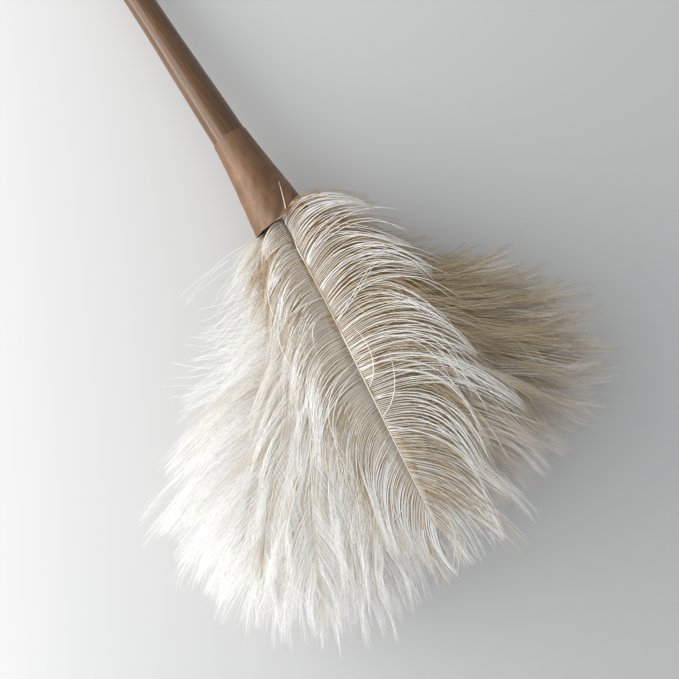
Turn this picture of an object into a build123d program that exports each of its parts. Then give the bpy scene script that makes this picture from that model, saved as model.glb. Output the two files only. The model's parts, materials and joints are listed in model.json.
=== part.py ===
from build123d import *
from math import atan2, asin, cos, degrees, hypot, pi, radians, sin, sqrt
import os

# Feather duster: ostrich plumes bound in three tiers round the spigot of a turned wooden
# handle, their quills covered by a wrapped leather collar. It lies on a flat surface with
# the handle's butt touching down at -X and the plumes fanned out towards +X.
# Millimetres. Along the handle, t runs from 0 at the collar's mouth down to the butt.

# ---- handle: lengths from the mouth down, and radii -----------------------------------
COLLAR_LENGTH = 64.0        # leather, mouth to top edge
SPIGOT_RADIUS = 6.6
SPIGOT_LENGTH = 48.0        # shoulder to nose
SPIGOT_NOSE = 1.0           # chamfer on the nose
SEAT_LENGTH = 12.0          # rebate that the leather's top end is glued on
NECK_RADIUS = 11.2          # full wood just behind the leather
NECK_TAPER_LENGTH = 108.0
GRIP_RADIUS = 8.9
GRIP_LENGTH = 62.0          # parallel stretch, where a wall clip holds
BUTT_TAPER_LENGTH = 36.0
BUTT_RADIUS = 8.3           # slimmer than the grip, so that a wall clip's sleeve slides on
BUTT_LENGTH = 18.0          # the rounded end
BUTT_FLAT_RADIUS = 4.0      # what is left flat at the very end
BUTT_STEPS = 100            # points tried for where the rounded end touches the surface
HANG_HOLE_RADIUS = 2.5
HANG_HOLE_FROM_END = 16.0
MOUTH_HEIGHT = 30.0         # mouth centre above the surface, on the bed of plumes

# ---- leather collar ---------------------------------------------------------------------
LEATHER = 1.2
LEATHER_PROUD = 0.6         # how far the leather stands above the wood behind it
GLUE_BAND = 8.0             # the leather's top end that lies flat on its seat
BUNDLE_CLEARANCE = 0.3      # between the leather and the outer tier of quills
MOUTH_RISE = 2.4            # how much wider the mouth is than the leather round the quill ends
SEAM_ANGLE = 66.0           # round the handle from its top, towards +Y
SEAM_GAP = 0.3
NOTCH_LENGTH = 23.0         # the seam splits open towards the mouth
NOTCH_WIDTH = 23.0

# ---- quills, tiers and their bindings ---------------------------------------------------
QUILL = 1.6                 # square section
TWINE = 0.6                 # diameter
NEST = 0.02                 # clearance between quills, twine and wood
TIER_COUNTS = (12, 15, 18)
TIER_ANGLES = (9.9, 8.3, -3.5)           # the first plume of each tier, round the handle
TIE_SWING = 2.7                          # plumes are hand-tied, so each is a little off an even spacing
TIE_RHYTHM = 1.98
TIER_BUTTS = (46.0, 38.0, 23.0)          # quill ends, measured back from the mouth
BINDING_STARTS = (44.0, 35.0, 14.0)      # first turn, measured back from the mouth
BINDING_TURNS = (14, 14, 16)

# ---- how the plumes spread ---------------------------------------------------------------
PLUME_LENGTH = 252.0
PLUME_LENGTH_SWING = 9.0    # tiers and neighbours differ by up to this
FAN_ANGLE = 48.0            # outermost plumes off the handle's axis, seen from above
FAN_RUN = 92.0              # length over which a plume turns out to its own heading
LOW_HEIGHT = 0.5            # lowest plumes' centre lines once they lie down
LOW_RUN = 125.0             # length over which they get there
CREST_HEIGHT = 93.0         # highest plumes' centre lines at their crest
CREST_RUN = 165.0
TIP_DROOP = 12.0            # how far the highest tips hang below the crest
# fraction of the plume's length, width and thickness: the thin blade stands for the soft vane
BLADE = (
    (0.0, QUILL, QUILL),
    (0.1, 1.8, 1.4),
    (0.2, 3.0, 1.0),
    (0.3, 8.5, 0.9),
    (0.45, 20.0, 0.9),
    (0.7, 34.0, 0.9),
    (0.88, 37.0, 0.9),
    (1.0, 15.0, 0.9),
)
WIDEN_BY = 0.3              # fraction of the length where the inner tiers' narrower vanes set in
PATH_STEPS = 200            # steps for adding up a plume's path

# ---- worked out ----------------------------------------------------------------------------
SEAT_RADIUS = NECK_RADIUS + LEATHER_PROUD - LEATHER
SHOULDER = COLLAR_LENGTH - SEAT_LENGTH
NECK_END = COLLAR_LENGTH + NECK_TAPER_LENGTH
GRIP_END = NECK_END + GRIP_LENGTH
BUTT_START = GRIP_END + BUTT_TAPER_LENGTH
HANDLE_END = BUTT_START + BUTT_LENGTH


def butt_end():
    """The rounded end's profile, as (-t, radius)."""
    return Spline((-BUTT_START, BUTT_RADIUS), (-HANDLE_END, BUTT_FLAT_RADIUS), tangents=((-1, 0), (0, -1)))


def resting_tilt():
    """The handle's tilt at which the rounded end just touches the surface."""
    profile = butt_end()
    points = [profile @ (i / BUTT_STEPS) for i in range(BUTT_STEPS + 1)]
    return min(asin(MOUTH_HEIGHT / hypot(p.X, p.Y)) - atan2(p.Y, -p.X) for p in points)


TILT = resting_tilt()
MOUTH = Vector(0, 0, MOUTH_HEIGHT)
AXIS = Vector(cos(TILT), 0, sin(TILT))
UP = Vector(-sin(TILT), 0, cos(TILT))
SIDE = Vector(0, 1, 0)

QUILL_REACH = QUILL / sqrt(2)            # centre to corner
TIER_RADII = []
BINDING_RADII = []                       # inside of each winding
for _tier in TIER_COUNTS:
    _floor = BINDING_RADII[-1] + TWINE if BINDING_RADII else SPIGOT_RADIUS
    TIER_RADII.append(_floor + NEST + QUILL_REACH)
    BINDING_RADII.append(TIER_RADII[-1] + QUILL_REACH + NEST)
SEAT_OUTSIDE = NECK_RADIUS + LEATHER_PROUD
BUNDLE_OUTSIDE = BINDING_RADII[-1] + BUNDLE_CLEARANCE + LEATHER
MOUTH_RADIUS = BUNDLE_OUTSIDE + MOUTH_RISE


def on_axis(t):
    """The point on the handle's axis a distance t back from the mouth."""
    return MOUTH - AXIS * t


def lathe(profile):
    """Turns a closed profile of (t, radius) edges about the handle's axis."""
    turned = revolve(make_face(profile), Axis.X)
    return Plane(origin=MOUTH, x_dir=AXIS, z_dir=-SIDE) * turned


def make_handle():
    nose = COLLAR_LENGTH - SEAT_LENGTH - SPIGOT_LENGTH
    neck = Spline((-COLLAR_LENGTH, NECK_RADIUS), (-NECK_END, GRIP_RADIUS), tangents=((-1, -0.012), (-1, 0)))
    taper = Spline((-GRIP_END, GRIP_RADIUS), (-BUTT_START, BUTT_RADIUS), tangents=((-1, 0), (-1, 0)))
    spigot = Polyline(
        (-HANDLE_END, BUTT_FLAT_RADIUS),
        (-HANDLE_END, 0),
        (-nose, 0),
        (-nose, SPIGOT_RADIUS - SPIGOT_NOSE),
        (-nose - SPIGOT_NOSE, SPIGOT_RADIUS),
        (-SHOULDER, SPIGOT_RADIUS),
        (-SHOULDER, SEAT_RADIUS),
        (-COLLAR_LENGTH, SEAT_RADIUS),
        (-COLLAR_LENGTH, NECK_RADIUS),
    )
    grip = Line((-NECK_END, GRIP_RADIUS), (-GRIP_END, GRIP_RADIUS))
    wood = lathe([neck, grip, taper, butt_end(), spigot])
    drill_at = on_axis(HANDLE_END - HANG_HOLE_FROM_END)
    drill = Plane(origin=drill_at, x_dir=AXIS, z_dir=SIDE) * Cylinder(HANG_HOLE_RADIUS, 4 * GRIP_RADIUS)
    return wood - drill


def collar_line(offset):
    """The leather's profile from top edge to mouth, moved inwards by offset."""
    rest = (-COLLAR_LENGTH + GLUE_BAND, SEAT_OUTSIDE - offset)
    bundle = (-TIER_BUTTS[-1], BUNDLE_OUTSIDE - offset)
    mouth = (0, MOUTH_RADIUS - offset)
    band = Line((-COLLAR_LENGTH, SEAT_OUTSIDE - offset), rest)
    return [band, Spline(rest, bundle, mouth, tangents=((1, 0), (1, 0.11)))]


def make_collar():
    outside = collar_line(0)
    inside = collar_line(LEATHER)
    ends = [
        Line(outside[0] @ 0, inside[0] @ 0),
        Line(outside[1] @ 1, inside[1] @ 1),
    ]
    sleeve = lathe(outside + inside + ends)
    # the seam's cut opens outwards along one radius, and widens to a notch at the mouth
    reach = 2 * MOUTH_RADIUS
    out = UP * cos(radians(SEAM_ANGLE)) + SIDE * sin(radians(SEAM_ANGLE))
    notch = Polyline(
        (-COLLAR_LENGTH - 1, -SEAM_GAP / 2),
        (-NOTCH_LENGTH, -SEAM_GAP / 2),
        (0, -NOTCH_WIDTH / 2),
        (1, -NOTCH_WIDTH / 2),
        (1, NOTCH_WIDTH / 2),
        (0, NOTCH_WIDTH / 2),
        (-NOTCH_LENGTH, SEAM_GAP / 2),
        (-COLLAR_LENGTH - 1, SEAM_GAP / 2),
        close=True,
    )
    cutter = Plane(origin=MOUTH, x_dir=AXIS, z_dir=out) * extrude(make_face(notch), reach)
    return sleeve - cutter


def make_binding(tier):
    """A close winding: a sleeve whose outside has one half-round ridge for each turn."""
    start = BINDING_STARTS[tier]
    inner = BINDING_RADII[tier]
    core = inner + TWINE / 2
    turns = BINDING_TURNS[tier]
    ridges = []
    for turn in range(turns):
        left = -start + turn * TWINE
        ridges.append(ThreePointArc((left, core), (left + TWINE / 2, core + TWINE / 2), (left + TWINE, core)))
    right = -start + turns * TWINE
    inside = Polyline((-start, core), (-start, inner), (right, inner), (right, core))
    return lathe(ridges + [inside])


def ease(value):
    """Smooth step from 0 to 1."""
    value = min(max(value, 0.0), 1.0)
    return value * value * (3 - 2 * value)


def plume_length(tier, place):
    return PLUME_LENGTH + PLUME_LENGTH_SWING * sin(2.4 * place + 1.7 * tier)


def plume_angle(tier, place):
    """Where a plume is tied, round the handle from its top towards +Y."""
    even = TIER_ANGLES[tier] + 360 * place / TIER_COUNTS[tier]
    return radians(even + TIE_SWING * sin(TIE_RHYTHM * place * (tier + 1)))


def vane_share(tier):
    """Width of a tier's vanes against the outer tier's, by the room between neighbours."""
    room = [radius * sin(2 * pi / count) for radius, count in zip(TIER_RADII, TIER_COUNTS)]
    return room[tier] / room[-1]


def height(distance, level, start_height):
    """Height of a plume's centre line; level is -1 for the lowest plumes and 1 for the highest."""
    reach = MOUTH_HEIGHT - TIER_RADII[-1]
    low = reach + (LOW_HEIGHT - reach) * ease(distance / LOW_RUN)
    reach = MOUTH_HEIGHT + TIER_RADII[-1]
    high = reach + (CREST_HEIGHT - reach) * ease(distance / CREST_RUN)
    past = max(distance - CREST_RUN * 0.8, 0) / (PLUME_LENGTH - CREST_RUN * 0.8)
    high -= TIP_DROOP * past * past
    share = (level + 1) / 2
    return low + (high - low) * share


def plume_path(tier, angle, length):
    """Centre line of one plume beyond the mouth: points and headings at equal steps."""
    radius = TIER_RADII[tier]
    sideways = radius * sin(angle)
    level = radius * cos(angle) / TIER_RADII[-1]
    heading = radians(FAN_ANGLE) * sideways / TIER_RADII[-1]
    start = MOUTH + SIDE * sideways + UP * (radius * cos(angle))
    step = length / PATH_STEPS
    x, y, z = start.X, start.Y, start.Z
    rise = z - height(0, level, z)
    points = [Vector(x, y, z)]
    turns = [0.0]
    for i in range(1, PATH_STEPS + 1):
        distance = i * step
        turn = heading * ease((distance - step / 2) / FAN_RUN)
        new_z = height(distance, level, z) + rise
        level_step = sqrt(max(step * step - (new_z - z) ** 2, 0))
        x += level_step * cos(turn)
        y += level_step * sin(turn)
        z = new_z
        points.append(Vector(x, y, z))
        turns.append(heading * ease(distance / FAN_RUN))
    return points, turns


def make_plume(tier, angle, length):
    """Square quill inside the collar, and a thin blade that stands for shaft and vane beyond it."""
    points, turns = plume_path(tier, angle, length)
    sections = []
    for share, width, thickness in BLADE:
        i = round(share * PATH_STEPS)
        width *= 1 + (vane_share(tier) - 1) * ease(share / WIDEN_BY)
        width = max(width, thickness)
        if i == 0:
            ahead = AXIS
        else:
            ahead = (points[min(i + 1, PATH_STEPS)] - points[i - 1]).normalized()
        across = Vector(-sin(turns[i]), cos(turns[i]), 0)
        sections.append(Plane(origin=points[i], x_dir=across, z_dir=ahead) * Rectangle(width, thickness))
    blade = loft(sections)
    quill = extrude(sections[0], -TIER_BUTTS[tier])
    return quill + blade


def make_pieces():
    pieces = {"handle": make_handle(), "collar": make_collar()}
    for tier, count in enumerate(TIER_COUNTS):
        pieces[f"binding_{tier + 1}"] = make_binding(tier)
        for place in range(count):
            plume = make_plume(tier, plume_angle(tier, place), plume_length(tier, place))
            pieces[f"plume_{tier + 1}_{place + 1:02d}"] = plume
    return pieces


def main():
    os.makedirs("parts", exist_ok=True)
    pieces = make_pieces()
    box = Compound(children=[Compound(piece.solids()) for piece in pieces.values()]).bounding_box()
    # the frame's origin is on the surface, under the middle of the whole object
    home = Pos(-box.center().X, -box.center().Y, -box.min.Z)
    for name, piece in pieces.items():
        export_step(home * piece, f"parts/{name}.step")
    place = home * Pos(on_axis(HANDLE_END - HANG_HOLE_FROM_END))
    print("hang hole at", place.position, "grip centre at", (home * Pos(on_axis(NECK_END + GRIP_LENGTH / 2))).position)
    print("tilt", degrees(TILT), "axis", AXIS, "size", box.size)


main()
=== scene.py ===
import json
from math import cos, pi, radians, sin

import bpy
import numpy as np
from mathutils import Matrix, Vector


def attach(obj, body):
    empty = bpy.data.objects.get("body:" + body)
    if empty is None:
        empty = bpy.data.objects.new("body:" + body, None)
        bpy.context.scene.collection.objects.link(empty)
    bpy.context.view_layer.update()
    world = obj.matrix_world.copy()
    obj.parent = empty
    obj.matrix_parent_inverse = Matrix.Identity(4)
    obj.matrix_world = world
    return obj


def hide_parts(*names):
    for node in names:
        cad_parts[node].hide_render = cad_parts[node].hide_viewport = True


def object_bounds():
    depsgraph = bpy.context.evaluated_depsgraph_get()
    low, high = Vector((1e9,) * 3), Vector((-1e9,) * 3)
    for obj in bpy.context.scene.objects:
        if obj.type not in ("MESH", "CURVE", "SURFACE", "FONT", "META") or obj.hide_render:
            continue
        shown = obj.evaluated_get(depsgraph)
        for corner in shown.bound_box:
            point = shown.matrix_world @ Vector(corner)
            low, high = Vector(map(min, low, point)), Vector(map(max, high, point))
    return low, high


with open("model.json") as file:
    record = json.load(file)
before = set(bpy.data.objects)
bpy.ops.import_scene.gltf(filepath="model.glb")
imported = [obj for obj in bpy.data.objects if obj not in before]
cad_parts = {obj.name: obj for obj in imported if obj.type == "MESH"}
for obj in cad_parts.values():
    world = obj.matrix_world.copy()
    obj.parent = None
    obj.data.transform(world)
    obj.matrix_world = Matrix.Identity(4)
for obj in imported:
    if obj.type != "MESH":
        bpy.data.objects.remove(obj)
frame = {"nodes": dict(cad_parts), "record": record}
cad_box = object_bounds()

MM = 0.001

# ---------------------------------------------------------------- places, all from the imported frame
RECORD = frame["record"]
MOUNTS = {mount["name"]: mount for mount in RECORD["mounts"]}
AXIS = -np.array(MOUNTS["grip_shaft"]["axis"], float)   # the mount points the way a clip slides off
AXIS /= np.linalg.norm(AXIS)
SIDE = np.array((0.0, 1.0, 0.0))
UP = np.cross(AXIS, SIDE)
GRIP = np.array(MOUNTS["grip_shaft"]["pos_m"], float)
LOW, HIGH = (np.array(corner, float) for corner in cad_box)


def node_points(node):
    mesh = frame["nodes"][node].data
    points = np.empty(len(mesh.vertices) * 3)
    mesh.vertices.foreach_get("co", points)
    return points.reshape(-1, 3)


def along(points):
    """Distance along the handle's axis from the middle of the grip."""
    return (np.asarray(points) - GRIP) @ AXIS


def from_axis(points):
    """Distance from the handle's axis."""
    offset = np.asarray(points) - GRIP
    return np.linalg.norm(offset - np.outer(offset @ AXIS, AXIS), axis=1)


COLLAR_POINTS = node_points("collar")
MOUTH_AT = along(COLLAR_POINTS).max()
COLLAR_TOP_AT = along(COLLAR_POINTS).min()
COLLAR_LENGTH = MOUTH_AT - COLLAR_TOP_AT
COLLAR_TOP_RADIUS = from_axis(COLLAR_POINTS)[along(COLLAR_POINTS) < COLLAR_TOP_AT + 1 * MM].max()
COLLAR_MOUTH_RADIUS = from_axis(COLLAR_POINTS).max()
MOUTH = GRIP + AXIS * MOUTH_AT


# ---------------------------------------------------------------- camera and light
HANDLE_TURN = radians(56.9)      # how far the camera is turned round from the handle's line
VIEW_RIGHT = np.array((cos(HANDLE_TURN), sin(HANDLE_TURN), 0.0))
VIEW_UP = np.array((-sin(HANDLE_TURN), cos(HANDLE_TURN), 0.0))
CAMERA_HEIGHT = 0.82
CAMERA_LENS = 66.0
AIM_STEP = (0.0352, -0.0752)     # right and up in the view, from the collar's mouth to the middle of the view
LAMP_TARGET = 0.03               # height over the floor that the lamps point at
SKY_COLOUR = (0.97, 0.985, 1.0, 1)
SKY_STRENGTH = 0.57


def rolled(right, up):
    """World direction of a step right and up in the view."""
    return VIEW_RIGHT * right + VIEW_UP * up


AIM = MOUTH + rolled(*AIM_STEP)


def make_camera():
    data = bpy.data.cameras.new("camera")
    data.lens = CAMERA_LENS
    data.sensor_width = 36
    camera = bpy.data.objects.new("camera", data)
    camera.location = (AIM[0], AIM[1], CAMERA_HEIGHT)
    camera.rotation_euler = (0, 0, HANDLE_TURN)
    bpy.context.collection.objects.link(camera)
    bpy.context.scene.camera = camera


def make_lamp(name, toward, size, power, colour):
    """A soft lamp, its place given in metres right, up and over the floor from the middle of the view."""
    data = bpy.data.lights.new(name, "AREA")
    data.shape = "RECTANGLE"
    data.size, data.size_y = size
    data.energy = power
    data.color = colour
    lamp = bpy.data.objects.new(name, data)
    place = np.array((AIM[0], AIM[1], 0.0)) + rolled(toward[0], toward[1]) + np.array((0, 0, toward[2]))
    target = Vector((AIM[0], AIM[1], LAMP_TARGET))
    lamp.location = place
    lamp.rotation_euler = (target - Vector(place)).to_track_quat("-Z", "Y").to_euler()
    bpy.context.collection.objects.link(lamp)


def make_world():
    world = bpy.data.worlds.new("studio")
    bpy.context.scene.world = world
    world.use_nodes = True
    background = world.node_tree.nodes["Background"]
    background.inputs["Color"].default_value = SKY_COLOUR
    background.inputs["Strength"].default_value = SKY_STRENGTH


make_camera()
make_lamp("window", (-0.62, -0.05, 0.32), (2.0, 0.6), 10.3, (1.0, 0.995, 0.98))
make_lamp("low_window", (-0.60, -0.05, 0.12), (1.8, 0.18), 2.9, (1.0, 0.985, 0.95))
make_world()
bpy.context.scene.view_settings.view_transform = "Standard"


# ---------------------------------------------------------------- shader maths
class Wire:
    """A shader socket that adds nodes when it is used in arithmetic."""

    def __init__(self, paint, socket):
        self.paint = paint
        self.socket = socket

    def _math(self, operation, *values):
        return self.paint.node("ShaderNodeMath", {"operation": operation}, dict(enumerate(values)))

    def __add__(self, other):
        return self._math("ADD", self, other)

    def __radd__(self, other):
        return self._math("ADD", other, self)

    def __sub__(self, other):
        return self._math("SUBTRACT", self, other)

    def __rsub__(self, other):
        return self._math("SUBTRACT", other, self)

    def __mul__(self, other):
        return self._math("MULTIPLY", self, other)

    def __rmul__(self, other):
        return self._math("MULTIPLY", other, self)


class Paint:
    """One material's node tree."""

    def __init__(self, name):
        self.material = bpy.data.materials.new(name)
        self.material.use_nodes = True
        self.tree = self.material.node_tree
        self.shader = self.tree.nodes["Principled BSDF"]

    def node(self, kind, settings=None, inputs=None, output=0):
        made = self.tree.nodes.new(kind)
        for key, value in (settings or {}).items():
            if key == "stops":
                self._stops(made.color_ramp, value)
            else:
                setattr(made, key, value)
        for key, value in (inputs or {}).items():
            self._feed(made.inputs[key], value)
        return Wire(self, made.outputs[output])

    def _stops(self, ramp, stops):
        while len(ramp.elements) < len(stops):
            ramp.elements.new(0.5)
        for element, (place, colour) in zip(ramp.elements, stops):
            element.position = place
            element.color = (*colour, 1)

    def _feed(self, socket, value):
        if isinstance(value, Wire):
            self.tree.links.new(value.socket, socket)
        elif socket.type == "RGBA":
            socket.default_value = (*value, 1)
        else:
            socket.default_value = value

    def set(self, **values):
        """Sets or links the main shader's sockets; underscores stand for spaces."""
        for key, value in values.items():
            self._feed(self.shader.inputs[key.replace("_", " ")], value)

    def mix(self, share, first, second):
        return self.node("ShaderNodeMix", {"data_type": "RGBA"}, {0: share, 6: first, 7: second}, output=2)

    def ramp(self, value, *stops):
        return self.node("ShaderNodeValToRGB", {"stops": stops}, {0: value})

    def between(self, value, low, high, to_low=0.0, to_high=1.0):
        inputs = {"Value": value, 1: low, 2: high, 3: to_low, 4: to_high}
        return self.node("ShaderNodeMapRange", {"clamp": True}, inputs)

    def along_handle(self, scale):
        """Object coordinates with X turned to run along the handle, then scaled."""
        coordinates = self.node("ShaderNodeTexCoord", output=3)
        tilt = (0.0, float(np.arctan2(AXIS[2], AXIS[0])), 0.0)
        turned = self.node("ShaderNodeMapping", {}, {"Vector": coordinates, "Rotation": tilt})
        return self.node("ShaderNodeMapping", {}, {"Vector": turned, "Scale": scale})

    def noise(self, scale, detail=2.0, rough=0.5, distort=0.0):
        """Cloudy noise with its own scale along the handle and across it."""
        inputs = {"Vector": self.along_handle(scale), "Scale": 1.0, "Detail": detail, "Roughness": rough}
        return self.node("ShaderNodeTexNoise", {}, {**inputs, "Distortion": distort})

    def bump(self, height, strength, distance):
        inputs = {"Height": height, "Strength": strength, "Distance": distance}
        return self.node("ShaderNodeBump", {}, inputs)


def plain_paint(name, colour, roughness, specular=0.5):
    paint = Paint(name)
    paint.set(Base_Color=colour, Roughness=roughness, Specular_IOR_Level=specular)
    return paint.material


def wood_paint():
    """Waxed hardwood: long soft bands with fine darker pores drawn out along the handle."""
    paint = Paint("wood_waxed")
    bands = paint.noise((5, 70, 70), 3.0, 0.6, 0.4)
    fine = paint.noise((28, 620, 620), 3.0, 0.6)
    pores = paint.noise((60, 1100, 1100), 2.0, 0.5)
    colour = paint.ramp(bands, (0.3, (0.115, 0.054, 0.020)), (0.7, (0.19, 0.098, 0.040)))
    colour = paint.mix(paint.between(fine, 0.35, 0.65, 0.0, 0.8), colour, (0.07, 0.034, 0.016))
    colour = paint.mix(paint.between(pores, 0.60, 0.72, 0.0, 0.75), colour, (0.07, 0.035, 0.02))
    paint.set(Base_Color=colour, Roughness=paint.between(fine, 0.3, 0.7, 0.42, 0.56))
    paint.set(Normal=paint.bump(fine + pores * -0.8, 0.5, 0.0005), Specular_IOR_Level=0.1)
    paint.set(Coat_Weight=0.65, Coat_Roughness=0.22, Coat_IOR=1.6)
    return paint.material


def leather_paint(name, dark, light):
    """Smooth tan leather, cloudy, with a fine grain and shallow creases whose hollows carry painted shade."""
    paint = Paint(name)
    cloud = paint.noise((60, 90, 90), 3.0, 0.55)
    grain = paint.noise((1500, 1500, 1500), 2.0, 0.5)
    creases = paint.noise((160, 420, 420), 3.0, 0.55, 0.8)
    colour = paint.ramp(cloud, (0.3, dark), (0.7, light))
    # the crease hollows are painted darker: painted shade in the creases
    colour = paint.mix(paint.between(creases, 0.35, 0.5, 0.35, 0.0), colour, (0.12, 0.058, 0.03))
    paint.set(Base_Color=colour, Roughness=paint.between(creases, 0.3, 0.7, 0.6, 0.5), Coat_Weight=0.2)
    paint.set(Normal=paint.bump(creases * 0.7 + grain * 0.3, 0.5, 0.0006), Coat_Roughness=0.2)
    return paint.material


def twine_paint():
    paint = Paint("twine_cotton")
    fibres = paint.noise((2500, 900, 900), 2.0, 0.5)
    colour = paint.ramp(fibres, (0.3, (0.40, 0.31, 0.2)), (0.7, (0.62, 0.52, 0.37)))
    paint.set(Base_Color=colour, Roughness=0.85)
    return paint.material


# barbs run from warm down by the shaft to white silk at their ends; the cream, tan and brown paints are
# darker copies of the white feather that stand for painted shade, cream also for the feather's own tone;
# each paint after the first starts at its own warmth
BARB_PAINTS = [
    plain_paint("barb_white", (0.97, 0.965, 0.945), 0.45, 0.4),
    plain_paint("barb_cream", (0.80, 0.74, 0.655), 0.48, 0.35),
    plain_paint("barb_tan_painted_shade", (0.54, 0.44, 0.30), 0.5, 0.3),
    plain_paint("barb_brown_painted_shade", (0.42, 0.27, 0.13), 0.6, 0.2),
]
WARMTHS = (0.22, 0.52, 0.85)
# a shaft is pale towards its tip, tan in its middle and dark where it is glued in under the collar: painted
# shade inside the collar
SHAFT_PAINTS = [
    plain_paint("shaft_pale", (0.74, 0.66, 0.52), 0.4, 0.45),
    plain_paint("shaft_tan", (0.52, 0.40, 0.26), 0.42, 0.45),
    plain_paint("quill_shaded_in_collar", (0.15, 0.095, 0.055), 0.6, 0.3),
]
SHADED_IN_COLLAR_TO, TAN_TO = 0.19, 0.45    # shares of the shaft's length


# ---------------------------------------------------------------- masters that are copied along curves
def deselect():
    bpy.ops.object.select_all(action="DESELECT")


def select_long_edges(obj):
    """Selects, in edit mode, the edges that run the length of an upright primitive."""
    bpy.ops.object.mode_set(mode="EDIT")
    bpy.ops.mesh.select_mode(type="EDGE")
    bpy.ops.mesh.select_all(action="DESELECT")
    bpy.ops.object.mode_set(mode="OBJECT")
    vertices = obj.data.vertices
    for edge in obj.data.edges:
        first, second = (vertices[i].co for i in edge.vertices)
        edge.select = abs(first.z - second.z) > 0.5
    bpy.ops.object.mode_set(mode="EDIT")


def make_strand(sides, pieces, taper, tip):
    """A unit strand up the Z axis, closed at both ends and thinner at its tip, as arrays."""
    deselect()
    bpy.ops.mesh.primitive_cylinder_add(vertices=sides, radius=1, depth=1, location=(0, 0, 0.5))
    obj = bpy.context.object
    bpy.ops.object.transform_apply(location=True)
    select_long_edges(obj)
    bpy.ops.mesh.subdivide(number_cuts=pieces - 1)
    bpy.ops.object.mode_set(mode="OBJECT")
    mesh = obj.data
    points = np.empty(len(mesh.vertices) * 3)
    mesh.vertices.foreach_get("co", points)
    points = points.reshape(-1, 3)
    points[:, :2] *= (1 - (1 - tip) * points[:, 2:] ** taper)
    loops = np.empty(len(mesh.loops), np.int32)
    mesh.loops.foreach_get("vertex_index", loops)
    totals = np.empty(len(mesh.polygons), np.int32)
    mesh.polygons.foreach_get("loop_total", totals)
    middles = np.array([polygon.center.z for polygon in mesh.polygons])
    bpy.data.objects.remove(obj)
    bpy.data.meshes.remove(mesh)
    return {"points": points, "loops": loops, "totals": totals, "middles": middles}


BARB = make_strand(3, 7, 2.0, 0.25)
FRONT_BARB = make_strand(3, 12, 2.0, 0.25)
SHAFT = make_strand(8, 48, 1.0, 0.35)
SHAFT_RADIUS = 0.78 * MM
# a strand's thickness as a share of its width
SHAFT_FLATNESS, BARB_FLATNESS, SPRUNG_FLATNESS = 0.9, 0.45, 0.6


def unit(vectors):
    return vectors / np.maximum(np.linalg.norm(vectors, axis=-1, keepdims=True), 1e-12)


def bend_strands(strand, curves, normals, half_width, half_thick):
    """Copies a unit strand along each curve; curves and the normals of its flat side are (n, k, 3)."""
    steps = curves.shape[1]
    tangents = unit(np.gradient(curves, axis=1))
    across = unit(np.cross(normals, tangents))
    facing = np.cross(tangents, across)
    share = strand["points"][:, 2] * (steps - 1)
    low = np.clip(np.floor(share).astype(int), 0, steps - 2)
    part = (share - low)[None, :, None]

    def at(values):
        return values[:, low] * (1 - part) + values[:, low + 1] * part

    x = strand["points"][:, 0][None, :, None] * half_width[:, None, None]
    y = strand["points"][:, 1][None, :, None] * half_thick[:, None, None]
    return (at(curves) + at(across) * x + at(facing) * y).reshape(-1, 3)


def strand_part(strand, curves, normals, half_width, flatness, slots):
    """Points, loops, polygon sizes and material slots of a strand copied along each curve."""
    count = len(curves)
    loops = (strand["loops"][None, :] + (np.arange(count) * len(strand["points"]))[:, None]).ravel()
    return {
        "points": bend_strands(strand, curves, normals, half_width, half_width * flatness),
        "loops": loops,
        "totals": np.tile(strand["totals"], count),
        "slots": slots.ravel().astype(np.int32),
    }


def mesh_object(name, parts, materials):
    """One object from the arrays of several parts."""
    start = 0
    for part in parts:
        part["loops"] = part["loops"] + start
        start += len(part["points"])
    points, loops, totals, slots = (
        np.concatenate([part[key] for part in parts]) for key in ("points", "loops", "totals", "slots")
    )
    mesh = bpy.data.meshes.new(name)
    mesh.vertices.add(len(points))
    mesh.vertices.foreach_set("co", points.astype(np.float32).ravel())
    mesh.loops.add(len(loops))
    mesh.loops.foreach_set("vertex_index", loops.astype(np.int32))
    mesh.polygons.add(len(totals))
    mesh.polygons.foreach_set("loop_start", np.concatenate([[0], np.cumsum(totals)[:-1]]).astype(np.int32))
    mesh.polygons.foreach_set("use_smooth", np.ones(len(totals), bool))
    for material in materials:
        mesh.materials.append(material)
    mesh.polygons.foreach_set("material_index", slots)
    mesh.update(calc_edges=True)
    obj = bpy.data.objects.new(name, mesh)
    bpy.context.collection.objects.link(obj)
    return obj


# ---------------------------------------------------------------- plumes
SLICES = 60
SPINE_STEPS = 160
BUTT_TRIM = 0.5 * MM             # the first slice is this far from the butt
TIP_TRIM = 9 * MM                # and the last this far from the rounded tip, which the line is drawn on to


def spine_of(node):
    """A plume's centre line, butt to tip, from slices of its CAD solid at even steps of X."""
    mesh = frame["nodes"][node].data
    points = node_points(node)
    edges = np.empty(len(mesh.edges) * 2, np.int32)
    mesh.edges.foreach_get("vertices", edges)
    first, second = points[edges.reshape(-1, 2).T]
    low, high = points[:, 0].min(), points[:, 0].max()
    line = []
    for x in np.linspace(low + BUTT_TRIM, high - TIP_TRIM, SLICES):
        cut = (first[:, 0] - x) * (second[:, 0] - x) < 0
        a, b = first[cut], second[cut]
        share = ((x - a[:, 0]) / (b[:, 0] - a[:, 0]))[:, None]
        hits = a + (b - a) * share
        line.append((hits.min(axis=0) + hits.max(axis=0)) / 2)
    line = np.array(line)
    step = line[-1] - line[-2]
    return np.vstack([line, line[-1] + step * (TIP_TRIM / step[0])])


def resample(line, count):
    """The same line at even steps of its length."""
    steps = np.concatenate([[0], np.cumsum(np.linalg.norm(np.diff(line, axis=0), axis=1))])
    places = np.linspace(0, steps[-1], count)
    return np.stack([np.interp(places, steps, line[:, i]) for i in range(3)], axis=1)


def smooth(values, low, high):
    """0 below low, 1 above high, eased between."""
    share = np.clip((values - low) / (high - low), 0, 1)
    return share * share * (3 - 2 * share)


BARB_STEPS = 14
FLOOR_CLEAR = 0.5 * MM
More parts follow.
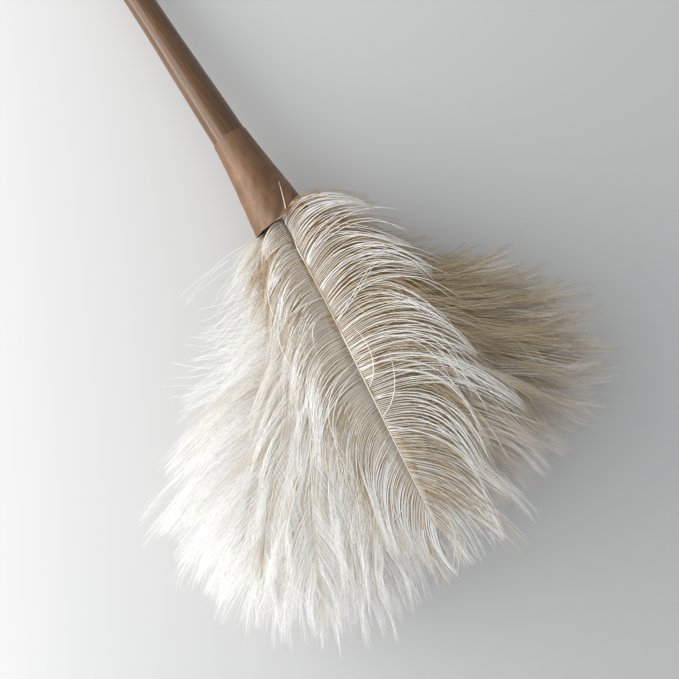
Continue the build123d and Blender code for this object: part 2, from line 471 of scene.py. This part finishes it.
# barbs may pass the CAD box by this share of its sides and a little more
PAST_BOX = 0.03 * (HIGH - LOW)
LIMIT_LOW = LOW - PAST_BOX - 8.5 * MM
LIMIT_HIGH = HIGH + PAST_BOX + 7 * MM
LIMIT_EASE = 12 * MM             # they are slowed over this length before a limit
FLOOR_EASE = 4 * MM


def read(stops, places):
    """A value that changes along the plume: (place, value) stops."""
    return np.interp(places, *zip(*stops))


def ripple(rng, places, low=2.0, high=7.0):
    """A smooth random wave along the plume, about -1 to 1."""
    waves = sum(
        np.sin(2 * pi * (rng.uniform(low, high) * places + rng.random())) * rng.uniform(0.4, 1.0)
        for _ in range(3)
    )
    return waves / 1.6


def clumps(rng, count, smallest, largest):
    """Splits count barbs into runs; returns each barb's run and each run's middle barb."""
    run, middles, at = np.zeros(count, int), [], 0
    while at < count:
        size = rng.integers(smallest, largest + 1)
        run[at : at + size] = len(middles)
        middles.append(min(at + size // 2, count - 1))
        at += size
    return run, np.array(middles)


RISE_WAVE, RISE_WAVES = 4, 1.1   # degrees, and waves in a barb's length


def grow(base, start, end, lift, length, look, phase):
    """Barb curves from their roots: base is (roots, ahead, out, top), angles are in radians."""
    roots, ahead, out, top = base
    t = np.linspace(0, 1, BARB_STEPS)[None, :]
    late = np.clip((t - look["delay"]) / (1 - look["delay"]), 0, 1)
    turned = 1 - (1 - late) ** look["turn"]
    angle = start[:, None] + (end - start)[:, None] * turned
    angle = angle + np.radians(look["wave"]) * np.sin(2 * pi * (look["waves"] * t + phase)) * t
    angle = angle + np.radians(look["curl"]) * t**3
    rise = lift[:, None] * (1 - look["fall"] * t)
    rise = rise + np.radians(RISE_WAVE) * np.sin(2 * pi * (RISE_WAVES * t + phase)) * t
    direction = (
        (np.cos(angle) * np.cos(rise))[:, :, None] * ahead[:, None, :]
        + (np.sin(angle) * np.cos(rise))[:, :, None] * out[:, None, :]
        + np.sin(rise)[:, :, None] * top[:, None, :]
    )
    moved = np.cumsum((direction[:, 1:] + direction[:, :-1]) / 2, axis=1)
    offset = np.concatenate([np.zeros((len(roots), 1, 3)), moved], axis=1)
    offset *= (length / (BARB_STEPS - 1))[:, None, None]
    offset[:, :, 2] -= look["sag"] * length[:, None] * t**2
    return roots[:, None, :] + offset


def bases(spine, places, side, look):
    """Roots on the shaft and the directions ahead, outwards and upwards at each."""
    steps = len(spine)
    at = places * look["last"] * (steps - 1)
    low = np.clip(at.astype(int), 0, steps - 2)
    part = (at - low)[:, None]
    roots = spine[low] * (1 - part) + spine[low + 1] * part
    tangents = unit(np.gradient(spine, axis=0))
    ahead = unit(tangents[low] * (1 - part) + tangents[low + 1] * part)
    out = unit(np.cross(np.array((0, 0, 1.0)), ahead)) * side
    top = unit(np.cross(ahead, out) * side)
    return roots, ahead, out, top


# chance in a vane. Ripples run along the plume; spreads are single barbs' own; a run's barbs share a draw
LENGTH_RIPPLE, END_RIPPLE, LIFT_RIPPLE, PHASE_RIPPLE = 0.08, 1.6, 4, 0.35
START_SPREAD, PHASE_SPREAD, WIDTH_SPREAD = 1.2, 0.12, 0.3
STRAY_END, STRAY_LIFT, WISP_SPREAD = 24, 7, 14
LIFT_LOOSE = 0.3                 # lift's share of the looseness
OWN_WARMTH, RUN_WARMTH = 0.04, 0.07
# gathering of a run's barbs into a tuft
HELD_EASE = 1.4
FREE_SHARE = 0.1                 # of it for strays and wisps
MOST_HELD = 0.94


def vane(rng, spine, side, look):
    """The barbs of one side of a plume: curves (n, steps, 3), flat sides' normals, warmth and width."""
    count = look["count"]
    places = np.linspace(0, 1, count) + rng.normal(0, look["uneven"] / count, count)
    places = np.sort(np.clip(places, 0, 1))
    base = bases(spine, places, side, look)
    run, middles = clumps(rng, count, *look["clump"])
    each = rng.normal(0, 1, (count, 6))
    group = rng.normal(0, 1, (len(middles), 4))[run]
    chance = rng.random((len(middles), 4))[run]
    stray = rng.random(count) < look["stray"]
    wisp = rng.random(count) < look["wisp"] * (places < look["wisp_to"])

    length = read(look["length"], places) * MM
    length *= 1 + look["rough"] * (0.4 * each[:, 0] + 0.5 * group[:, 0])
    length *= 1 + LENGTH_RIPPLE * ripple(rng, places)
    start = read(look["start"], places) + look["ripple"] * ripple(rng, places) + START_SPREAD * each[:, 1]
    end = read(look["end"], places) + END_RIPPLE * look["ripple"] * ripple(rng, places)
    end = end + look["loose"] * (0.8 * group[:, 1] + 0.5 * each[:, 2])
    end = end + np.where(stray, STRAY_END * each[:, 3], 0)
    lift = read(look["lift"], places) + LIFT_RIPPLE * ripple(rng, places)
    lift = lift + LIFT_LOOSE * look["loose"] * (group[:, 2] + 0.6 * each[:, 4])
    lift = lift + np.where(stray, STRAY_LIFT * abs(each[:, 5]), 0)
    length = np.where(wisp, look["wisp_length"] * MM * (0.75 + 0.5 * chance[:, 3]), length)
    end = np.where(wisp, look["wisp_end"] + WISP_SPREAD * each[:, 3], end)
    phase = PHASE_RIPPLE * ripple(rng, places)[:, None] + PHASE_SPREAD * chance[:, 2:3]
    curves = grow(base, np.radians(start), np.radians(end), np.radians(lift), length, look, phase)

    t = np.linspace(0, 1, BARB_STEPS)[None, :]
    guide = curves[middles][run]
    free = (stray | wisp)[:, None]
    late = np.clip((t - look["held"]) / (1 - look["held"]), 0, 1) ** HELD_EASE
    hold = look["gather"] * (0.6 + 0.6 * chance[:, 1:2]) * late
    hold = np.clip(np.where(free, FREE_SHARE * hold, hold), 0, MOST_HELD)[:, :, None]
    curves = curves * (1 - hold) + guide * hold
    normals = np.broadcast_to(base[3][:, None, :], curves.shape)
    # warmth is the table's painted shade plus each barb's and each run's own random tone
    warmth = read(look["warm"], places) + OWN_WARMTH * each[:, 5] + RUN_WARMTH * group[:, 3]
    uneven = 1 - WIDTH_SPREAD / 2 + WIDTH_SPREAD * rng.random(count)
    width = look["width"] * MM * uneven * np.where(wisp, 1.1, 1)
    return curves, normals, warmth, width


def held_below(values, limit, ease):
    """The same values, but those near the limit eased so that they stay below it."""
    over = values - (limit - ease)
    return np.where(over > 0, limit - ease * np.exp(-over / ease), values)


def settle(curves):
    """Keeps barbs on the surface and inside the room that the duster has."""
    for i in range(3):
        curves[..., i] = held_below(curves[..., i], LIMIT_HIGH[i], LIMIT_EASE)
        if i < 2:
            curves[..., i] = -held_below(-curves[..., i], -LIMIT_LOW[i], LIMIT_EASE)
    curves[..., 2] = -held_below(-curves[..., 2], -FLOOR_CLEAR, FLOOR_EASE)
    return curves


# angles in degrees from the shaft's direction, lengths in mm, along the plume from 0 at the collar to 1
# the warm tables and the root warmth are painted shade: warmer barbs near the collar's mouth and down by the
# shaft
COMMON = {
    "count": 290, "uneven": 0.25, "last": 0.88, "clump": (6, 16), "stray": 0.04, "rough": 0.10,
    "loose": 5.0, "ripple": 5.0, "wisp": 0.0, "wisp_to": 0.5, "wisp_length": 56, "wisp_end": 72,
    "length": ((0, 30), (0.12, 52), (0.4, 84), (0.75, 76), (1, 46)),
    "start": ((0, 80), (0.3, 58), (1, 28)),
    "end": ((0, 38), (0.3, 18), (1, 4)),
    "turn": 1.7, "delay": 0.0, "wave": 8.0, "waves": 0.8, "curl": 0.0,
    "lift": ((0, 10), (0.3, 6), (1, 4)), "fall": 2.2, "sag": 0.10, "gather": 0.42, "held": 0.15,
    "warm": ((0, 0.3), (0.2, 0.08), (1, 0.0)), "root": 0.25, "root_to": 0.45, "width": 0.17,
}
# how far plumes reach from the collar, in mm, by their heading from the handle's line in degrees
REACH = ((-40, 240), (-31, 262), (-26, 276), (-16, 262), (-8, 242), (6, 240), (14, 228), (24, 238), (34, 224))
TIP_BARB = 44
FRONT = "plume_3_01"
FRONT_HEADING = -6.0
# root and root_to give the front plume painted shade down by its shaft
FRONT_SIDES = {
    "count": 200, "uneven": 0.08, "width": 0.33, "fall": 1.6, "sag": 0.05, "root": 0.42, "root_to": 0.75,
}
FRONT_RIGHT = {
    "turn": 2.0, "delay": 0.14, "gather": 0.9, "held": 0.28, "clump": (9, 26), "wave": 9.0,
    "loose": 10.0, "ripple": 5.0, "stray": 0.03, "rough": 0.2,
    "start": ((0, 128), (0.12, 118), (0.3, 98), (0.55, 84), (0.8, 58), (1, 22)),
    "end": ((0, 50), (0.12, 44), (0.3, 34), (0.5, 22), (0.75, 10), (1, -3)),
    "length": ((0, 46), (0.1, 66), (0.25, 82), (0.6, 92), (0.85, 64), (1, 34)),
    "lift": ((0, 34), (0.3, 26), (0.6, 16), (1, 5)),
    "warm": ((0, 0.0), (0.3, 0.05), (1, 0.0)),
}
FRONT_LEFT = {
    "turn": 2.0, "delay": 0.08, "gather": 0.55, "held": 0.35, "clump": (8, 18), "wave": 6.0,
    "loose": 5.0, "ripple": 3.0, "stray": 0.02, "rough": 0.12,
    "start": ((0, 100), (0.3, 92), (0.6, 76), (0.85, 50), (1, 20)),
    "end": ((0, 50), (0.3, 30), (0.6, 18), (1, -3)),
    "length": ((0, 20), (0.1, 28), (0.2, 38), (0.35, 50), (0.5, 64), (0.8, 62), (1, 34)),
    "lift": ((0, 12), (0.3, 10), (0.6, 8), (1, 5)),
    "warm": ((0, 0.1), (0.3, 0.05), (1, 0.0)),
}
# a second, warmer layer of barbs that closes the front plume's vanes from below; its warmth is painted shade
# in the gaps between the upper barbs
FRONT_UNDER = {"warm": ((0, 0.9), (0.25, 0.7), (0.4, 0.5), (1, 0.4)), "gather": 0.3}
FRONT_UNDER_DROP = 1.2 * MM
# barbs of the front plume that have sprung loose, by side: how many, place, start, end, lift, length
SPRUNG = {
    1: (
        (1, 0.03, 138, 172, 36, 32), (1, 0.57, 118, 205, 30, 42), (1, 0.68, 110, 190, 28, 44),
        (2, 0.36, 104, 132, 34, 70), (2, 0.30, 112, 46, 34, 84), (2, 0.33, 104, 30, 32, 90),
        (2, 0.42, 96, 8, 31, 96), (2, 0.45, 90, 2, 30, 100), (3, 0.52, 84, 14, 28, 94),
        (2, 0.56, 84, -6, 26, 98), (2, 0.62, 78, 4, 24, 88), (2, 0.70, 66, -12, 22, 84),
        (3, 0.14, 122, 60, 36, 70), (2, 0.17, 118, 34, 36, 78), (2, 0.24, 112, 20, 34, 86),
        (3, 0.48, 92, 22, 30, 86),
    ),
    -1: (
        (1, 0.14, 172, 205, 30, 34), (1, 0.10, 84, -24, 30, 84), (2, 0.28, 92, 20, 24, 70),
        (2, 0.5, 70, -8, 22, 80), (1, 0.2, 80, -10, 26, 90),
    ),
}
SQUEEZE = 0.86                   # plumes on the seam's side lie closer together than their solids
SHIFT_LENGTH = 90 * MM           # a plume is moved off its solid's line little by little over this length
FRONT_RISE = 8 * MM              # the front plume rides on top of its neighbours
FRONT_TURN = -4.0                # and leans over to the side away from the seam, in degrees


# headings in degrees from the handle's line, larger towards +Y, at which plumes look different; +Y is the
# side away from the lamps, where plumes get painted shade
WARM_FROM, TAN_FROM, SHORT_FROM = -2, 11, 28
SHADED_HOLLOW_TO, LONG_TO, WISPS_TO = -20, -30, -34
UNDER_FRONT = 17                 # plumes this near to the front one lie under it
PLUME_LENGTH = 252               # of a CAD plume, in mm
FRONT_LONGER = 0.07


def look_for(node, side, heading):
    """The table of one side of one plume: COMMON, changed for where it lies and how deep in the bush; its
    warmer barbs there are painted shade.
    """
    look = dict(COMMON)
    tier = int(node.split("_")[1])
    look["last"] = float(np.clip((read(REACH, heading) - TIP_BARB) / PLUME_LENGTH, 0.4, 0.9))
    outer = side * heading > 0
    # plumes on the side away from the lamps are warm along their whole length: painted shade
    if heading > TAN_FROM:
        look.update(warm=((0, 0.6), (0.35, 0.5), (0.8, 0.36), (1, 0.2)), root=0.4, root_to=1.15)
        look["curl"] = 38.0 if outer else -12.0
    # plumes near the middle are warmer towards the collar: painted shade
    if WARM_FROM < heading <= TAN_FROM:
        look.update(warm=((0, 0.8), (0.3, 0.6), (0.7, 0.4), (1, 0.2)), root_to=0.8)
    # plumes of the inner tiers lie deep in the bush: their warmer barbs are painted shade, more of it on the
    # side away from the lamps
    if tier < 3:
        look["count"] = 240
        deep = 0.35 if heading < 0 else 0.55
        look["warm"] = ((0, 0.8), (0.3, deep), (0.7, 0.6 * deep), (1, 0.1))
    if heading > SHORT_FROM and outer:
        look["length"] = ((0, 24), (0.12, 36), (0.4, 54), (0.75, 56), (1, 42))
    if heading < LONG_TO and outer:
        look["length"] = ((0, 34), (0.2, 42), (0.4, 86), (0.6, 98), (0.8, 72), (1, 46))
        look["start"] = ((0, 96), (0.3, 70), (0.6, 48), (1, 28))
        look["end"] = ((0, 66), (0.3, 38), (0.6, 30), (1, 10))
        # a brown band a little out from the collar is painted shade in the hollow there
        look["warm"] = ((0, 0.3), (0.05, 0.9), (0.13, 0.9), (0.18, 0.2), (1, 0))
    elif tier == 3 and LONG_TO < heading < SHADED_HOLLOW_TO and outer:
        # the same brown band of painted shade in the hollow near the collar
        look["warm"] = ((0, 0.4), (0.06, 0.95), (0.14, 0.8), (0.2, 0.2), (1, 0.0))
    if heading < WISPS_TO and outer:
        look.update(wisp=0.3, wisp_to=0.5, wisp_length=60, warm=((0, 0.1), (1, 0.0)))
    if node == FRONT:
        look.update(FRONT_SIDES)
        look.update(FRONT_RIGHT if side > 0 else FRONT_LEFT)
        look["last"] += FRONT_LONGER
    elif abs(heading - FRONT_HEADING) < UNDER_FRONT and side * (heading - FRONT_HEADING) < 0:
        # the side that lies under the front plume
        look.update(lift=((0, -2), (1, -4)), stray=0.0)
    return look


def barb_slots(strand, warmth, look):
    """Material slot of each face: barbs are warmer towards their roots, painted shade down by the shaft."""
    share = strand["middles"][None, :]
    warm = warmth[:, None] + look["root"] * (1 - share / look["root_to"]).clip(0)
    return np.digitize(warm, WARMTHS)


# how far chance moves a sprung barb's place, start, end, lift and length
SPRUNG_SPREAD = (0.008, 3, 6, 1, 4)
SPRUNG_WIDTH = 0.34 * MM


def sprung_barbs(rng, spine, side, look):
    """Long barbs that stand clear of the front plume's vanes."""
    rows = np.array(SPRUNG[side], float)
    rows = np.repeat(rows[:, 1:], rows[:, 0].astype(int), axis=0)
    places, start, end, lift, length = (rows + rng.normal(0, SPRUNG_SPREAD, rows.shape)).T
    places = places.clip(0.02)
    base = bases(spine, places, side, look)
    phase = np.zeros((len(places), 1))
    loose = {**look, "delay": 0.0, "turn": 1.2}
    curves = grow(base, np.radians(start), np.radians(end), np.radians(lift), length * MM, loose, phase)
    normals = np.broadcast_to(base[3][:, None, :], curves.shape)
    width = np.full(len(places), SPRUNG_WIDTH)
    slots = np.zeros((len(places), len(FRONT_BARB["middles"])), int)
    return strand_part(FRONT_BARB, settle(curves), normals, width, SPRUNG_FLATNESS, slots)


def off_solid(node, spine, away):
    """The centre line moved to where the plume is drawn, by its distance away from the collar's mouth."""
    ease = smooth(away, 0, SHIFT_LENGTH)
    out = spine[:, 1] - MOUTH[1]
    spine[:, 1] -= np.where(out > 0, (1 - SQUEEZE) * out * ease, 0)
    if node == FRONT:
        spine[:, 2] += FRONT_RISE * ease
        spine[:, 1] += np.tan(np.radians(FRONT_TURN)) * away.clip(0)
    return spine


def make_plume(node, seed):
    """Shaft and barbs of one plume, round its CAD solid's centre line."""
    rng = np.random.default_rng(seed)
    spine = resample(spine_of(node), SPINE_STEPS)
    away = along(spine) - MOUTH_AT
    first = int(np.argmax(away > 0))
    spine = off_solid(node, spine, away)
    free = spine[first:]
    heading = float(np.degrees(np.arctan2(free[-1, 1] - free[0, 1], free[-1, 0] - free[0, 0])))
    last = look_for(node, 1, heading)["last"]
    shaft = spine[None, : len(spine) - int(len(free) * (1 - last))]
    normals = np.broadcast_to(np.array((0, 0, 1.0)), shaft.shape)
    slots = len(BARB_PAINTS) + 2 - np.digitize(SHAFT["middles"], (SHADED_IN_COLLAR_TO, TAN_TO))
    parts = [strand_part(SHAFT, shaft, normals, np.array([SHAFT_RADIUS]), SHAFT_FLATNESS, slots)]
    strand = FRONT_BARB if node == FRONT else BARB
    for side in (1, -1):
        look = look_for(node, side, heading)
        layers = [(look, 0.0)]
        if node == FRONT:
            layers.append(({**look, **FRONT_UNDER}, -FRONT_UNDER_DROP))
        for layer, drop in layers:
            curves, normals, warmth, width = vane(rng, free + np.array((0, 0, drop)), side, layer)
            slots = barb_slots(strand, warmth, layer)
            parts.append(strand_part(strand, settle(curves), normals, width, BARB_FLATNESS, slots))
        if node == FRONT:
            parts.append(sprung_barbs(rng, free, side, look))
    piece = mesh_object(node.replace("plume", "ostrich_plume"), parts, BARB_PAINTS + SHAFT_PAINTS)
    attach(piece, "root")
    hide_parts(node)


FIRST_SEED = 100
for number, node in enumerate(sorted(name for name in frame["nodes"] if name.startswith("plume_"))):
    make_plume(node, FIRST_SEED + number)


# ---------------------------------------------------------------- leather collar
SEAM = 92.0                      # degrees round the handle from its top, towards +Y
SEAM_GAP = 1.2                   # degrees
NOTCH = 17 * MM
LEATHER = 1.2 * MM
COLLAR_GRID = (120, 56)          # faces round the handle and along it
# how far each flap's edge swings round over the notch, in degrees; the near one ends in a round corner
NEAR_SWING, FAR_SWING, SWING_EASE = 66, 72, 0.45
CORNER, CORNER_SWING = 6 * MM, 16
FAR_SHORTER = 4 * MM             # the far flap is cut a little shorter
NEAR_LIFTED, FAR_TUCKED = 1.7 * MM, 0.8 * MM
LEAN = 2.2 * MM                  # the mouth bulges to the side away from the seam


def make_collar():
    """A strip of leather wrapped round the quills, its seam split open in a notch at the mouth."""
    wide, tall = COLLAR_GRID
    deselect()
    bpy.ops.mesh.primitive_grid_add(x_subdivisions=wide, y_subdivisions=tall, size=1, location=(0, 0, 0))
    obj = bpy.context.object
    obj.name = "leather_collar"
    mesh = obj.data
    flat = np.empty(len(mesh.vertices) * 3)
    mesh.vertices.foreach_get("co", flat)
    flat = flat.reshape(-1, 3) + 0.5
    u, v = flat[:, 0], flat[:, 1]
    back = (1 - v) ** 1.15 * COLLAR_LENGTH
    opening = np.clip(1 - back / NOTCH, 0, 1)
    rounding = 1 - np.sqrt(np.clip(1 - np.clip(1 - back / CORNER, 0, 1) ** 2, 0, 1))
    near = SEAM - SEAM_GAP / 2 - NEAR_SWING * opening**SWING_EASE - CORNER_SWING * rounding
    far = SEAM + SEAM_GAP / 2 - FAR_SWING * opening**SWING_EASE - 360
    angle = np.radians(near + (far - near) * u)
    at_far_edge = np.clip((u - 0.80) / 0.12, 0, 1) ** 2
    back = back + FAR_SHORTER * at_far_edge * (1 - np.clip(back / (2 * NOTCH), 0, 1))
    share = 1 - back / COLLAR_LENGTH
    radius = COLLAR_TOP_RADIUS + (COLLAR_MOUTH_RADIUS - 0.3 * MM - COLLAR_TOP_RADIUS) * share**1.15
    lean = np.clip(-np.sin(angle), 0, 1) * LEAN * share**1.5
    # shallow folds that run out from the mouth
    fold = 0.22 * MM * share * np.sin(5 * angle + 2.0)
    fold = fold + 0.12 * MM * share * np.sin(11 * angle + 30 * share)
    # the near flap lies over the far one
    apart = np.clip(2 * opening, 0, 1)
    lap = NEAR_LIFTED * np.clip(1 - u / 0.07, 0, 1) ** 1.5 - FAR_TUCKED * np.clip((u - 0.86) / 0.1, 0, 1)
    radius = radius + lean + fold + lap * apart
    points = (
        MOUTH
        - AXIS * back[:, None]
        + UP * (radius * np.cos(angle))[:, None]
        + SIDE * (radius * np.sin(angle))[:, None]
    )
    mesh.vertices.foreach_set("co", points.astype(np.float32).ravel())
    mesh.update()
    mesh.materials.append(leather_paint("leather_tan", (0.115, 0.050, 0.019), (0.20, 0.098, 0.038)))
    mesh.materials.append(plain_paint("leather_cut_edge", (0.42, 0.29, 0.19), 0.75))
    # the inner face, the leather's flesh side, is painted much darker than the grain side: painted shade
    # inside the collar
    mesh.materials.append(plain_paint("leather_flesh_side_shaded", (0.085, 0.045, 0.024), 0.9, 0.1))
    solid = obj.modifiers.new("thickness", "SOLIDIFY")
    solid.thickness = LEATHER
    solid.offset = -1
    solid.use_rim = True
    solid.material_offset_rim = 1
    solid.material_offset = 2
    bpy.ops.object.modifier_apply(modifier="thickness")
    bpy.ops.object.mode_set(mode="EDIT")
    bpy.ops.mesh.select_all(action="SELECT")
    bpy.ops.mesh.normals_make_consistent(inside=False)
    bpy.ops.object.mode_set(mode="OBJECT")
    bevel = obj.modifiers.new("edge", "BEVEL")
    bevel.width = 0.3 * MM
    bevel.segments = 2
    bevel.limit_method = "ANGLE"
    bevel.angle_limit = radians(50)
    bpy.ops.object.modifier_apply(modifier="edge")
    bpy.ops.object.shade_smooth_by_angle(angle=radians(40))
    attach(obj, "root")
    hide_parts("collar")


make_collar()


# ---------------------------------------------------------------- CAD pieces that stay
def repaint(node, material):
    piece = frame["nodes"][node]
    piece.data.materials.clear()
    piece.data.materials.append(material)
    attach(piece, "root")


repaint("handle", wood_paint())
TWINE = twine_paint()
for node in ("binding_1", "binding_2", "binding_3"):
    repaint(node, TWINE)


# ---------------------------------------------------------------- floor
FLOOR_SIZE = 80                  # metres, so that its edge is far off from any side


def make_floor():
    deselect()
    bpy.ops.mesh.primitive_plane_add(size=FLOOR_SIZE, location=(AIM[0], AIM[1], 0))
    floor = bpy.context.object
    floor.name = "floor"
    floor.data.materials.append(plain_paint("floor_pale", (0.615, 0.62, 0.62), 0.85, 0.1))


make_floor()
